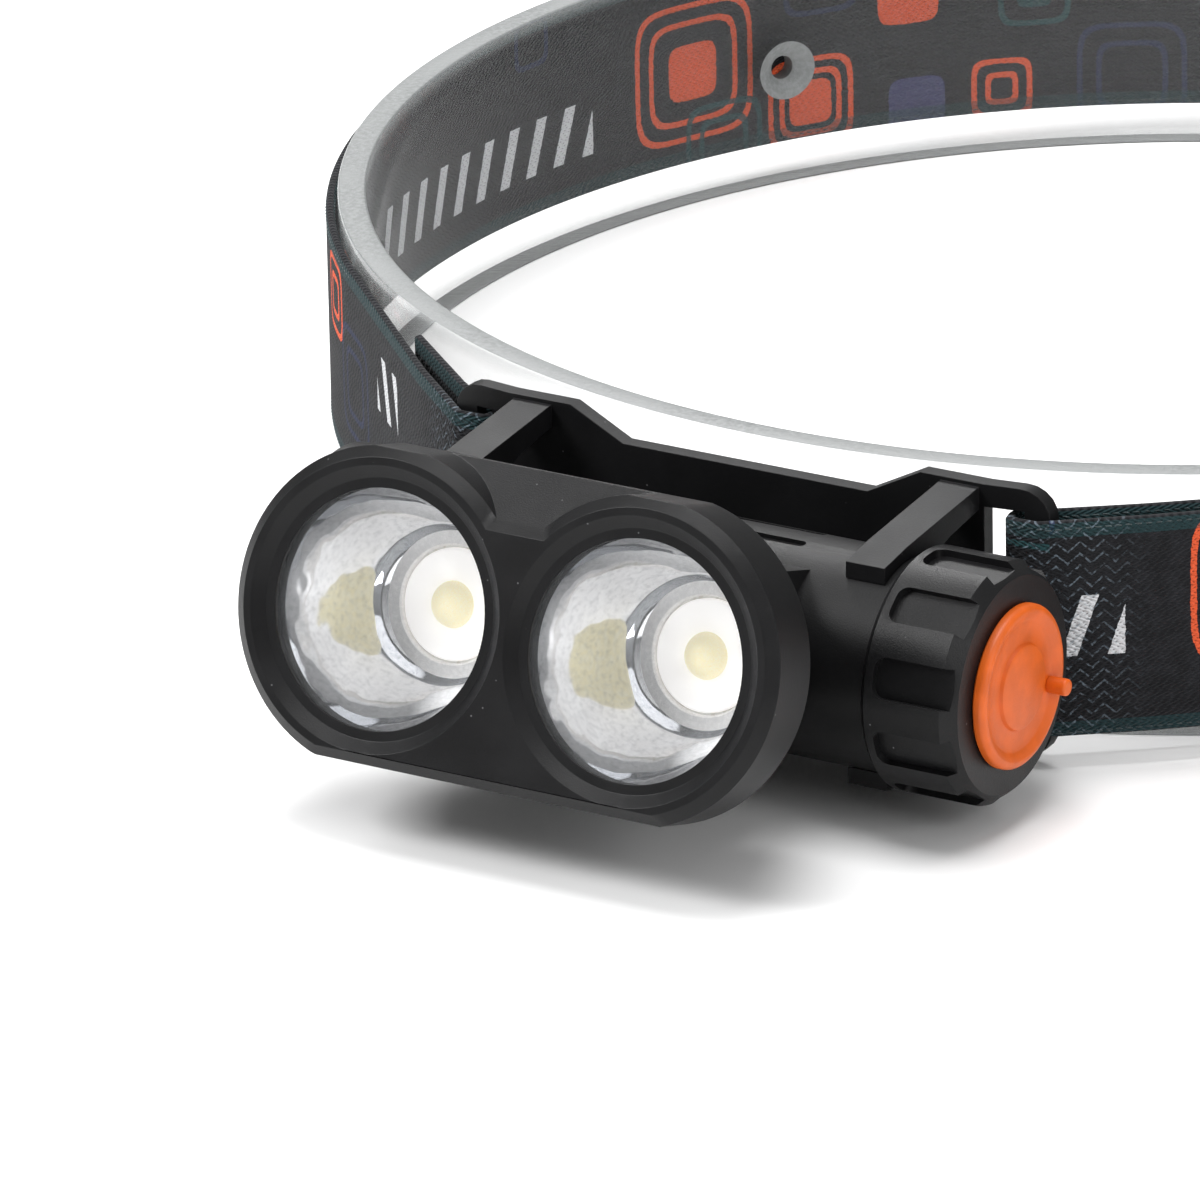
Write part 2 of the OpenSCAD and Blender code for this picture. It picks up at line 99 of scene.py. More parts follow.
class Value:
    """A socket that takes part in Python expressions; each operation adds its node."""

    def __init__(self, finish, socket):
        self.finish = finish
        self.socket = socket

    def math(self, operation, *others):
        return self.finish.node("ShaderNodeMath", {"operation": operation},
                                dict(enumerate((self, *others))))

    def __add__(self, other):
        return self.math("ADD", other)

    def __sub__(self, other):
        return self.math("SUBTRACT", other)

    def __mul__(self, other):
        return self.math("MULTIPLY", other)

    def __truediv__(self, other):
        return self.math("DIVIDE", other)

    def __lt__(self, other):
        return self.math("LESS_THAN", other)

    def __gt__(self, other):
        return self.math("GREATER_THAN", other)

    def __rsub__(self, other):
        return self.finish.node("ShaderNodeMath", {"operation": "SUBTRACT"}, {0: other, 1: self})

    def __rtruediv__(self, other):
        return self.finish.node("ShaderNodeMath", {"operation": "DIVIDE"}, {0: other, 1: self})

    __radd__ = __add__
    __rmul__ = __mul__

    def abs(self):
        return self.math("ABSOLUTE")

    def sin(self):
        return self.math("SINE")

    def most(self, other):
        return self.math("MAXIMUM", other)

    def wrap(self, period):
        return self.math("WRAP", period, 0.0)

    def ramp(self, start, end):
        """0 at start, 1 at end, smooth between them."""
        return self.finish.node("ShaderNodeMapRange", {"interpolation_type": "SMOOTHSTEP"},
                                {"Value": self, "From Min": start, "From Max": end})


class Finish:
    """A material with one Principled shader, built from expressions."""

    def __init__(self, name, **constants):
        self.material = bpy.data.materials.new(name)
        self.material.use_nodes = True
        self.tree = self.material.node_tree
        self.shader = self.tree.nodes["Principled BSDF"]
        self.set(**constants)

    def set(self, **sockets):
        for name, value in sockets.items():
            self.feed(self.shader.inputs[name.replace("_", " ")], value)
        return self

    def feed(self, socket, value):
        if isinstance(value, Value):
            self.tree.links.new(value.socket, socket)
        elif isinstance(value, tuple) and len(value) == 3 and socket.type == "RGBA":
            socket.default_value = (*value, 1)
        else:
            socket.default_value = value

    def node(self, kind, settings=None, inputs=None, output=0):
        new = self.tree.nodes.new(kind)
        for name, value in (settings or {}).items():
            setattr(new, name, value)
        for name, value in (inputs or {}).items():
            self.feed(new.inputs[name], value)
        return Value(self, new.outputs[output])

    def place(self):
        """Object coordinates in millimetres."""
        coords = self.node("ShaderNodeTexCoord", output="Object")
        return self.node("ShaderNodeVectorMath", {"operation": "SCALE"}, {0: coords, "Scale": 1 / MM})

    def parts(self, vector):
        split = self.tree.nodes.new("ShaderNodeSeparateXYZ")
        self.tree.links.new(vector.socket, split.inputs[0])
        return [Value(self, out) for out in split.outputs]

    def noise(self, where, scale, detail=2.0, rough=0.5):
        return self.node("ShaderNodeTexNoise", None,
                         {"Vector": where, "Scale": scale, "Detail": detail, "Roughness": rough})

    def cells(self, where, scale, feature="F1"):
        return self.node("ShaderNodeTexVoronoi", {"feature": feature}, {"Vector": where, "Scale": scale})

    def mix(self, factor, a, b):
        new = self.tree.nodes.new("ShaderNodeMix")
        new.data_type = "RGBA"
        for index, value in ((0, factor), (6, a), (7, b)):
            self.feed(new.inputs[index], value)
        return Value(self, new.outputs[2])

    def gloss(self):
        """Painted sheen: share of a clear surface's own colour that shows, little face on and all of it edge
        on; the face that shows keeps its real gloss, and its diffuse colour stands in for the reflection.
        """
        facing = self.node("ShaderNodeLayerWeight", None, {"Blend": 0.5}, "Facing")
        return facing.math("POWER", 5.0) * 0.95 + 0.045

    def bump(self, height, distance):
        """Height in units of distance, which is in millimetres."""
        return self.node("ShaderNodeBump", None,
                         {"Height": height, "Distance": distance * MM, "Strength": 1.0})


# ---------------------------------------------------------------- finishes


def toned(colour, factor):
    """A colour made lighter or darker, and no brighter than white."""
    return tuple(min(1.0, factor * c) for c in colour)


def moulded(name, colour, rough, grain=0.9, dust=0.5):
    """Moulded plastic: fine spark-eroded grain, faint cloudy gloss and a few light specks of dust."""
    finish = Finish(name, Specular_IOR_Level=0.2)
    where = finish.place()
    fine = finish.noise(where, 5.5, 3.0, 0.6)
    cloud = finish.noise(where, 0.12, 2.0)
    specks = finish.cells(where, 0.55).ramp(0.075, 0.03) * (finish.noise(where, 0.4) > 0.56)
    tone = finish.mix(cloud.ramp(0.35, 0.7), toned(colour, 0.82), toned(colour, 1.15))
    tone = finish.mix(fine.ramp(0.55, 0.8) * 0.25, tone, toned(colour, 2.2))
    tone = finish.mix(specks * dust, tone, (0.3, 0.3, 0.31))
    return finish.set(Base_Color=tone, Roughness=(cloud - 0.5) * 0.16 + (fine - 0.5) * 0.1 + rough,
                      Normal=finish.bump(fine, 0.03 * grain))


def soft_rubber(name, colour, rough=0.62):
    finish = Finish(name, Specular_IOR_Level=0.4)
    where = finish.place()
    fine = finish.noise(where, 3.5, 3.0)
    tone = finish.mix(finish.noise(where, 0.35).ramp(0.3, 0.75), toned(colour, 0.9), toned(colour, 1.08))
    return finish.set(Base_Color=tone, Roughness=(fine - 0.5) * 0.15 + rough,
                      Normal=finish.bump(fine, 0.02))


def metal(name, colour, rough=0.25, scratch=0.5):
    finish = Finish(name, Metallic=1.0)
    where = finish.place()
    drawn = finish.noise(where, 2.2, 4.0, 0.7)
    tone = finish.mix(drawn.ramp(0.35, 0.75), toned(colour, 0.85), colour)
    return finish.set(Base_Color=tone, Roughness=(drawn - 0.5) * 0.3 + rough,
                      Normal=finish.bump(drawn, 0.01 * scratch))


def polished_cup():
    """Vacuum-metallised reflector: near mirror, with a faint ripple from the moulding."""
    finish = Finish("reflector_chrome", Metallic=1.0)
    where = finish.place()
    ripple = finish.noise(where, 0.22, 1.0)
    haze = finish.noise(where, 1.6, 3.0)
    return finish.set(Base_Color=finish.mix(haze.ramp(0.4, 0.8), (0.68, 0.69, 0.71), (0.54, 0.55, 0.57)),
                      Roughness=(haze - 0.5) * 0.06 + 0.045, Normal=finish.bump(ripple, 0.07))


def clear_pane():
    """Thin clear pane: light passes straight on, and where it is seen edge on its near-white face shows, real
    gloss with a painted white sheen.
    """
    finish = Finish("clear_pane", Base_Color=(0.96, 0.98, 1.0), Roughness=0.03, Specular_IOR_Level=0.5)
    haze = finish.noise(finish.place(), 0.3).ramp(0.3, 0.8)
    return finish.set(Alpha=finish.gloss() * 0.9 + haze * 0.015)


def acrylic():
    """Clear extruded tube wall: hairline scratches, and a painted glow that makes it whiter and less clear
    towards its sawn rims.
    """
    finish = Finish("acrylic", Roughness=0.08, Specular_IOR_Level=0.4)
    where = finish.place()
    _, _, height = finish.parts(where)
    low, high = (corner[2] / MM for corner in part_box("shape_ring"))
    # painted glow: whiter and more opaque within 2.6 mm of either rim
    glow = (height - (low + high) / 2).abs().ramp((high - low) / 2 - 2.6, (high - low) / 2)
    hair = finish.noise(where, 0.9, 5.0, 0.7).ramp(0.55, 0.8)
    # painted sheen: the wall's grey face shows more where it is seen edge on
    return finish.set(Base_Color=finish.mix(glow, (0.26, 0.265, 0.265), (0.5, 0.52, 0.52)),
                      Alpha=finish.gloss() * 0.7 + glow * 0.3 + hair * 0.05 + 0.05)


def sawn_acrylic():
    """Sawn rim of the ring: frosted and grey, with a fine roughness."""
    finish = Finish("sawn_acrylic", Specular_IOR_Level=0.4)
    where = finish.place()
    frost = finish.noise(where, 1.4, 4.0, 0.65)
    cloud = finish.noise(where, 0.06, 2.0)
    tone = finish.mix(frost.ramp(0.3, 0.75), (0.14, 0.146, 0.146), (0.24, 0.25, 0.25))
    tone = finish.mix(cloud.ramp(0.35, 0.7), tone, (0.2, 0.208, 0.208))
    return finish.set(Base_Color=tone, Roughness=0.45, Normal=finish.bump(frost, 0.12))


def phosphor():
    """Yellow phosphor of the LED under clear resin, with a faint painted glow."""
    finish = Finish("phosphor", Roughness=0.35, Emission_Strength=0.2)
    grain = finish.noise(finish.place(), 6.0, 3.0)
    tone = finish.mix(grain.ramp(0.3, 0.7), (1.0, 0.88, 0.5), (1.0, 0.93, 0.65))
    # painted glow: the phosphor's own colour given off as light
    return finish.set(Base_Color=tone, Emission_Color=tone)


def led_seat_painted_glow():
    """White disc with a painted glow, as if the LED's light passed through it."""
    finish = soft_rubber("white_plastic", (0.93, 0.92, 0.9), 0.45)
    # painted glow: the seat gives off light of its own, though it is no lamp
    return finish.set(Emission_Color=(1.0, 0.965, 0.94), Emission_Strength=0.42)


def board(name, colour, line):
    """Circuit board: solder mask with copper tracks showing through and small pads."""
    finish = Finish(name, Roughness=0.35, Coat_Weight=0.3)
    where = finish.place()
    tracks = finish.cells(where, 0.45, "DISTANCE_TO_EDGE").ramp(0.06, 0.04)
    pads = finish.cells(where, 0.8).ramp(0.16, 0.12)
    tone = finish.mix(tracks, colour, line)
    return finish.set(Base_Color=finish.mix(pads, tone, (0.75, 0.74, 0.7)),
                      Normal=finish.bump(tracks + pads, 0.05))


def cell_wrap():
    """Shrink sleeve on the cell: glossy, with shallow wrinkles."""
    finish = Finish("cell_wrap", Coat_Weight=0.4)
    where = finish.place()
    wrinkle = finish.noise(where, 0.5, 3.0)
    tone = finish.mix(wrinkle.ramp(0.3, 0.7), (0.02, 0.1, 0.32), (0.03, 0.14, 0.42))
    return finish.set(Base_Color=tone, Roughness=wrinkle * 0.2 + 0.2, Normal=finish.bump(wrinkle, 0.08))


# ---------------------------------------------------------------- headband path, in millimetres

STRAP_T = 1.0
STRAP_W = 25.0
STRAP_R = (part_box("shape_ring")[1][0] / MM) + 0.4     # inside of the webbing on the ring
TAIL_GAP = 1.6                                        # from one layer to the next, past the slider
PLATE_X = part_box("bracket")[1][0] / MM
PLATE_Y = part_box("bracket")[1][1] / MM                # back of the bracket's plate
BAR_W = 3.0
TAIL_TURN = 118                                       # the free end, in degrees from straight ahead
FOLD_L = 22
FOLD_A = math.radians(41)


def on_loop(radius, turn):
    return Vector((radius * math.sin(math.radians(turn)), -radius * math.cos(math.radians(turn))))


def touch_turn(point, radius):
    """Turn at which a straight run from the point meets the loop."""
    return math.degrees(math.atan2(point.x, -point.y) + math.acos(radius / point.length))


def loop_line(radius, start, end, steps):
    return [on_loop(radius, start + (end - start) * i / steps) for i in range(steps + 1)]


def bar_bend():
    """Middle line of the webbing round the right bar, from behind the plate to its front."""
    bar_x = PLATE_X - BAR_W - STRAP_T / 2 - 1.2
    back = PLATE_Y + 0.05
    front = PLATE_Y - 2.7
    lift = 0.65 * STRAP_T
    return [Vector(p) for p in (
        (PLATE_X - 1.2, back + lift), (bar_x + 1, back + lift), (bar_x, back - 0.2), (bar_x, front),
        (bar_x + 0.8, front - lift), (PLATE_X + 0.2, front - lift + 0.3))]


def strap_line():
    """The whole middle line, and the indexes at which the main loop and the outer layer start."""
    right = bar_bend()
    left = [Vector((-p.x, p.y)) for p in right]
    main_r = STRAP_R + STRAP_T / 2
    tail_r = main_r + STRAP_T + TAIL_GAP
    flap = [left[0] + FOLD_L * Vector((-math.cos(FOLD_A), math.sin(FOLD_A))), *left]
    main = loop_line(main_r, -touch_turn(right[5], main_r), touch_turn(right[0], main_r) - 360, 240)
    tail = loop_line(tail_r, touch_turn(right[5], tail_r), TAIL_TURN, 60)
    return flap + main + right + tail, len(flap), len(flap) + len(main) + len(right) - 1


def lengths(points):
    """Distance along a line at each of its points."""
    total = [0.0]
    for before, after in zip(points, points[1:]):
        total.append(total[-1] + (after - before).length)
    return total


STRAP_LINE, MAIN_START, TAIL_START = strap_line()
STRAP_RUN = lengths(STRAP_LINE)
MAIN_RUN = STRAP_RUN[MAIN_START]
TAIL_RUN = STRAP_RUN[TAIL_START]
STRAP_LENGTH = STRAP_RUN[-1]
BAR_RUN = STRAP_RUN[MAIN_START - 1]                   # where the webbing comes round the left bar


def run_at(turn):
    """Distance from the left bar at a turn given from straight ahead; the straight run counts on."""
    main_r = STRAP_R + STRAP_T / 2
    start = 360 - touch_turn(bar_bend()[5], main_r)
    return MAIN_RUN - BAR_RUN + math.radians(start - turn) * main_r


# ---------------------------------------------------------------- woven pattern, in millimetres

BLACK = (0.0085, 0.0088, 0.0105)
ORANGE = (0.74, 0.105, 0.035)
PURPLE = (0.062, 0.062, 0.15)
TEAL = (0.016, 0.055, 0.06)
NAVY = (0.018, 0.024, 0.06)
WHITE = (0.62, 0.63, 0.65)
REPEAT = 243.0                                        # length of the pattern before it repeats
# Rounded squares: turn on the loop, height, half width, core, outlines, colour
SQUARES = [
    (310.4, 6.4, 4.6, 0, (0, 2.0), ORANGE), (316.5, -1.0, 6.6, 0, (0, 2.4), NAVY),
    (293.0, 4.0, 6.2, 2.6, (0,), TEAL), (296.0, -8.5, 3.6, 3.6, (), PURPLE),
    (246.6, -0.7, 8.9, 3.6, (0, 2.2), ORANGE), (244.0, -11.0, 5.6, 0, (0, 2.0), TEAL),
    (236.9, -7.9, 5.9, 2.9, (0, 1.6), ORANGE), (229.3, 4.4, 4.0, 4.0, (), ORANGE),
    (228.7, -10.4, 3.7, 3.7, (), PURPLE), (222.4, -9.3, 3.9, 0, (0, 1.8), ORANGE),
    (236.0, 8.5, 5.2, 0, (0, 2.2), NAVY), (220.0, 3.2, 4.6, 2.2, (0,), TEAL),
    (213.0, -8.5, 6.9, 0, (0, 2.4), NAVY), (262.0, 9.5, 3.2, 0, (0,), NAVY)]
BARS = [(255.8, 283.0, -4.0), (323.0, 328.6, 4.0)]    # runs of white slanted bars: turns, height
BAR_PITCH = 5.2
BAR_STROKE = 1.9
BAR_REACH = 3.5                                       # half a bar's height
BAR_SLANT = 0.34
OUTLINE_IN = 0.35                                     # middle of an outline, inside its square
OUTLINE_HALF = 0.36
OUTER_TURN = 246.6                                    # this square comes round again on the outer layer
OUTER_RUN = 24.3                                      # so far along it
OUTER_RISE = 4.4
STRIPE_AT = 11.5                                      # teal stripe along each selvedge
STRIPE_HALF = 0.8
ZIGZAG = 2.6                                          # one zigzag of the elastic threads
THREAD_PITCH = 1.35
WARP_PITCH = 0.95
WARP_SWAY = 1.1
WEFT_PITCH = 0.62


def rounded_square(across, up, centre, height, half):
    """Distance outside a square with round corners, negative inside it."""
    x = ((across - centre) / half).abs().math("POWER", 5.0)
    y = ((up - height) / half).abs().math("POWER", 5.0)
    return ((x + y).math("POWER", 0.2) - 1) * half


def webbing():
    """Elastic webbing: black ground with woven squares and bars, zigzag elastic near the slots."""
    finish = Finish("webbing", Roughness=0.85, Specular_IOR_Level=0.15, Sheen_Weight=0.06,
                    Sheen_Roughness=0.5)
    weave = finish.node("ShaderNodeUVMap", {"uv_map": "weave"})
    run, up, _ = finish.parts(weave)
    outer = run > TAIL_RUN
    shift = run_at(OUTER_TURN) - (TAIL_RUN + OUTER_RUN - BAR_RUN)
    across = (run - BAR_RUN + outer * shift).wrap(REPEAT)
    high = up - outer * OUTER_RISE
    jitter = finish.noise(weave, 1.7, 2.0)
    across = across + (jitter - 0.5) * 0.35
    high = high + (jitter - 0.5) * 0.25
    tone = finish.mix(finish.noise(weave, 0.5, 2.0).ramp(0.35, 0.7), BLACK, toned(BLACK, 1.7))
    for turn, height, half, core, outlines, colour in SQUARES:
        beyond = rounded_square(across, high, run_at(turn), height, half)
        mask = (beyond < core - half) if core else None
        for inset in outlines:
            line = (beyond + inset + OUTLINE_IN).abs() < OUTLINE_HALF
            mask = line if mask is None else mask.most(line)
        tone = finish.mix(mask * 0.92, tone, colour)
    for first, last, centre in BARS:
        inside = (across > run_at(last)) * (across < run_at(first))
        slant = (across - high * BAR_SLANT).wrap(BAR_PITCH)
        tone = finish.mix(inside * (slant < BAR_STROKE) * ((high - centre).abs() < BAR_REACH), tone, WHITE)
    tone = finish.mix(((up.abs() - STRIPE_AT).abs() < STRIPE_HALF) * 0.5, tone, TEAL)
    stretched = (run - TAIL_RUN).abs().ramp(12.0, 3.0).most((run - BAR_RUN).abs().ramp(10.0, 3.0))
    saw = (run.wrap(ZIGZAG) - ZIGZAG / 2).abs()
    threads = ((up + saw * 0.9 + (jitter - 0.5) * 0.5).wrap(THREAD_PITCH) - 0.68).abs() < 0.13
    tone = finish.mix(threads * stretched * jitter.ramp(0.38, 0.6) * 0.5, tone, (0.2, 0.25, 0.3))
    warp = (run * (2 * math.pi / WARP_PITCH) + (up * (2 * math.pi / WARP_SWAY)).sin() * 1.2).sin()
    weft = (up * (2 * math.pi / WEFT_PITCH)).sin()
    yarn = warp * weft * 0.5 + 0.5
    # painted shade: darker where the weave is lowest, in the gaps between the yarns
    tone = finish.mix(yarn.ramp(0.25, 0.05) * 0.55, tone, (0.004, 0.004, 0.005))
    fluff = finish.noise(weave, 3.1, 3.0, 0.7).ramp(0.6, 0.75) * 0.22
    return finish.set(Base_Color=finish.mix(fluff, tone, (0.07, 0.078, 0.085)),
                      Normal=finish.bump(yarn + jitter * 0.5 + threads * stretched * 0.6, 0.22))


def thread(name, colour):
    finish = Finish(name, Roughness=0.7, Sheen_Weight=0.3)
    where = finish.place()
    ply = finish.noise(where, 4.0, 2.0)
    return finish.set(Base_Color=finish.mix(ply.ramp(0.3, 0.7), toned(colour, 0.6), colour),
                      Normal=finish.bump(ply, 0.05))


def clear_resin(name):
    finish = Finish(name, Base_Color=(1.0, 0.98, 0.9), Roughness=0.05)
    # painted sheen: the resin's pale face shows more where it is seen edge on
    return finish.set(Alpha=finish.gloss() * 0.9 + 0.04)


FINISHES = {}


def finish_named(name):
    """The finish of that name, made once."""
    makers = {
        "body_plastic": lambda: moulded("body_plastic", (0.006, 0.006, 0.0064), 0.46),
        "bezel_plastic": lambda: moulded("bezel_plastic", (0.0055, 0.0055, 0.006), 0.4, 0.7, 0.35),
        "bracket_plastic": lambda: moulded("bracket_plastic", (0.0045, 0.0045, 0.005), 0.5, 0.6, 0.35),
        "cap_plastic": lambda: moulded("cap_plastic", (0.0065, 0.0065, 0.007), 0.38, 1.0, 0.45),
        "clear_pane": clear_pane,
        "black_rubber": lambda: soft_rubber("black_rubber", (0.02, 0.02, 0.021)),
        "reflector_chrome": polished_cup,
        "white_plastic": led_seat_painted_glow,
        "cup_floor": lambda: metal("cup_floor", (0.95, 0.94, 0.93), 0.5, 0.4),
        "phosphor": phosphor,
        "board_white": lambda: board("board_white", (0.8, 0.8, 0.77), (0.68, 0.66, 0.6)),
        "aluminium": lambda: metal("aluminium", (0.8, 0.81, 0.83), 0.35, 1.5),
        "board_green": lambda: board("board_green", (0.01, 0.09, 0.035), (0.03, 0.19, 0.07)),
        "wire_red": lambda: soft_rubber("wire_red", (0.55, 0.02, 0.02), 0.45),
        "zinc_steel": lambda: metal("zinc_steel", (0.66, 0.66, 0.68), 0.3),
        "cell_wrap": cell_wrap,
        "brass_strip": lambda: metal("brass_strip", (0.85, 0.66, 0.32), 0.28),
        "spring_steel": lambda: metal("spring_steel", (0.62, 0.63, 0.66), 0.22),
        "switch_black": lambda: soft_rubber("switch_black", (0.025, 0.025, 0.027), 0.4),
        "seal_red": lambda: soft_rubber("seal_red", (0.45, 0.03, 0.02), 0.5),
        "cover_orange": lambda: soft_rubber("cover_orange", (0.6, 0.1, 0.005), 0.45),
        "webbing": webbing,
        "acrylic": acrylic,
        "sawn_acrylic": sawn_acrylic,
        "edge_thread": lambda: thread("edge_thread", (0.012, 0.03, 0.034)),
        "tack_thread": lambda: thread("tack_thread", (0.02, 0.021, 0.024)),
        "resin": lambda: clear_resin("resin"),
    }
    if name not in FINISHES:
        FINISHES[name] = makers[name]().material
    return FINISHES[name]


# ---------------------------------------------------------------- mesh helpers

BODIES = frame["record"]["behaviour"]["bodies"]
NODE_BODY = {node: body for body, nodes in BODIES.items() for node in nodes}
BEVEL_ANGLE = 28                                      # edges sharper than this are rounded, in degrees


def add_piece(name, mesh, finishes, node):
    """Puts a mesh in the scene as a piece that stands for the node and rides on its body."""
    piece = bpy.data.objects.new(name, mesh)
    bpy.context.scene.collection.objects.link(piece)
    mesh.materials.clear()
    for finish in finishes:
        mesh.materials.append(finish_named(finish))
    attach(piece, NODE_BODY[node])
    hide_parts(node)
    return piece


def applied(piece):
    """Replaces a piece's mesh by the one its modifiers make, and removes them."""
    bpy.context.view_layer.update()
    done = bpy.data.meshes.new_from_object(piece.evaluated_get(bpy.context.evaluated_depsgraph_get()))
    piece.modifiers.clear()
    piece.data = done
    return piece


def shade(mesh, angle):
    mesh.shade_smooth()
    mesh.set_sharp_from_angle(angle=math.radians(angle))


def merged_copy(node):
    """A node's mesh with its loose triangles joined and its flats made whole."""
    mesh = frame["nodes"][node].data.copy()
    shell = bmesh.new()
    shell.from_mesh(mesh)
    bmesh.ops.remove_doubles(shell, verts=shell.verts, dist=3e-6)
    bmesh.ops.dissolve_limit(shell, angle_limit=math.radians(0.3), verts=shell.verts, edges=shell.edges)
    shell.to_mesh(mesh)
    shell.free()
    if "custom_normal" in mesh.attributes:
        mesh.attributes.remove(mesh.attributes["custom_normal"])
    return mesh


def bevelled(node, name, finishes, width):
    """A node's shape with its sharp edges rounded, standing for the node."""
    mesh = merged_copy(node)
    shade(mesh, 30)
    piece = add_piece(name, mesh, finishes, node)
    edge = piece.modifiers.new("rounded edges", "BEVEL")
    edge.limit_method = "ANGLE"
    edge.angle_limit = math.radians(BEVEL_ANGLE)
    edge.width = width * MM
    edge.segments = 3
    edge.use_clamp_overlap = True
    even = piece.modifiers.new("flat faces", "WEIGHTED_NORMAL")
    even.keep_sharp = False
    return applied(piece)


def lathed(profile, place, steps=96):
    """Turns a profile of (radius, height) in millimetres round the place's Z axis, closed."""
    shell = bmesh.new()
    rings = []
    for radius, height in profile:
        if radius < 1e-6:
            rings.append([shell.verts.new((0, 0, height * MM))])
            continue
        rings.append([shell.verts.new((radius * MM * math.cos(2 * math.pi * i / steps),
                                       radius * MM * math.sin(2 * math.pi * i / steps), height * MM))
                      for i in range(steps)])
    closed = profile[0][0] > 1e-6 and profile[-1][0] > 1e-6
    pairs = list(zip(rings, rings[1:])) + ([(rings[-1], rings[0])] if closed else [])
    for low, high in pairs:
        for i in range(steps):
            j = (i + 1) % steps
            corners = [low[i % len(low)], low[j % len(low)], high[j % len(high)], high[i % len(high)]]
            shell.faces.new(list(dict.fromkeys(corners)))
    bmesh.ops.recalc_face_normals(shell, faces=shell.faces)
    bmesh.ops.transform(shell, matrix=place, verts=shell.verts)
    mesh = bpy.data.meshes.new("turned")
    shell.to_mesh(mesh)
    shell.free()
    shade(mesh, 32)
    return mesh


def arc(centre_r, centre_z, radius, start, end, steps):
    return [(centre_r + radius * math.cos(math.radians(start + (end - start) * i / steps)),
             centre_z + radius * math.sin(math.radians(start + (end - start) * i / steps)))
            for i in range(steps + 1)]


# ---------------------------------------------------------------- optics


def reflector_mesh(lens, side):
    """Deep polished cup with a flange at its front."""
    steps = 28
    inner = [(lens.cup_base_r + (lens.opening_r + 0.1 - lens.cup_base_r) * (i / steps) ** 0.62,
              lens.cup_bottom + 0.9 + (lens.cup_depth + 0.1) * i / steps) for i in range(steps + 1)]
    outer = [(radius + 0.8, height - 0.9) for radius, height in reversed(inner)]
    floor = [(lens.led_hole_r, lens.cup_bottom), (lens.led_hole_r, lens.cup_bottom + 0.7),
             (lens.led_hole_r + 0.2, lens.cup_bottom + 0.9), (lens.cup_base_r - 0.2, lens.cup_bottom + 0.9)]
    flange = [(lens.glass_r, lens.glass_back), (lens.glass_r, lens.glass_back - 1)]
    return lathed(floor + inner + flange + outer, lens_axis(side), 128)


def led_seat_mesh(lens, side):
    """White disc round the LED, with a shallow step and a soft outer edge."""
    base = lens.cup_bottom - 0.05
    edge = lens.led_hole_r - 0.3
    return lathed([(1.15, base), (edge, base), *arc(edge - 0.3, base + 0.6, 0.3, 0, 90, 4),
                   (3.3, base + 0.9), (3.0, base + 0.78), (1.3, base + 0.84), (1.15, base + 0.8)],
                  lens_axis(side), 96)


def led_mesh(lens, side):
    """Square LED body with its phosphor face and a low clear dome."""
    half, base, top = 1.75, lens.cup_bottom - 0.05, lens.cup_bottom + 0.75
    shell = bmesh.new()
    bmesh.ops.create_cube(shell, size=1)
    bmesh.ops.scale(shell, vec=(2 * half * MM, 2 * half * MM, (top - base) * MM), verts=shell.verts)
    bmesh.ops.translate(shell, vec=(0, 0, (top + base) / 2 * MM), verts=shell.verts)
    bmesh.ops.bevel(shell, geom=list(shell.edges), offset=0.12 * MM, segments=2, affect="EDGES")
    bmesh.ops.transform(shell, matrix=lens_axis(side), verts=shell.verts)
    body_faces = len(shell.faces)
    dome = lathed([(0, top - 0.05), (2.6, top - 0.05), *arc(0, top - 0.6, 2.66, 14, 88, 10), (0, top + 2.06)],
                  lens_axis(side), 48)
    shell.from_mesh(dome)
    mesh = bpy.data.meshes.new("led")
    shell.to_mesh(mesh)
    shell.free()
    for face in mesh.polygons[body_faces:]:
        face.material_index = 1
    shade(mesh, 40)
    return mesh


# ---------------------------------------------------------------- headband


def sideways(line, i):
    """Unit vector across a line at one of its points."""
    ahead = line[min(i + 1, len(line) - 1)] - line[max(i - 1, 0)]
    ahead.normalize()
    return Vector((-ahead.y, ahead.x))


def strap_mesh():
    """Webbing as a strip with rounded selvedges; its UV map is distance along and height, in mm."""
    half = STRAP_T / 2
    edge = STRAP_W / 2
    rim = [(edge - 0.35, half), (edge - 0.1, half * 0.72), (edge, 0), (edge - 0.1, -half * 0.72),
           (edge - 0.35, -half)]
    levels = (9.5, 4.8, 0, -4.8, -9.5)
    section = [*rim, *((h, -half) for h in levels), *((-h, t) for h, t in reversed(rim)),
               *((-h, half) for h in levels)]
    rounded = [STRAP_LINE[0]]
    for before, after in zip(STRAP_LINE, STRAP_LINE[1:]):
        rounded += [before.lerp(after, 0.28), before.lerp(after, 0.72)]
    rounded.append(STRAP_LINE[-1])
    runs = lengths(rounded)
    scale = STRAP_LENGTH / runs[-1]
    shell = bmesh.new()
    weave = shell.loops.layers.uv.new("weave")
    rows = []
    for i, point in enumerate(rounded):
        across = sideways(rounded, i)
        row = []
        for height, offset in section:
            spot = point + across * offset
            row.append(shell.verts.new((spot.x * MM, spot.y * MM, height * MM)))
        rows.append(row)
    count = len(section)
    for i in range(len(rows) - 1):
        for j in range(count):
            k = (j + 1) % count
            face = shell.faces.new((rows[i][j], rows[i][k], rows[i + 1][k], rows[i + 1][j]))
            for loop, (row, col) in zip(face.loops, ((i, j), (i, k), (i + 1, k), (i + 1, j))):
                loop[weave].uv = (runs[row] * scale, section[col][0])
    for row in (rows[0], rows[-1]):
        face = shell.faces.new(row)
        for loop, (height, _) in zip(face.loops, section):
            loop[weave].uv = (0 if row is rows[0] else STRAP_LENGTH, height)
    bmesh.ops.recalc_face_normals(shell, faces=shell.faces)
    mesh = bpy.data.meshes.new("webbing")
    shell.to_mesh(mesh)
    shell.free()
    shade(mesh, 50)
    return mesh


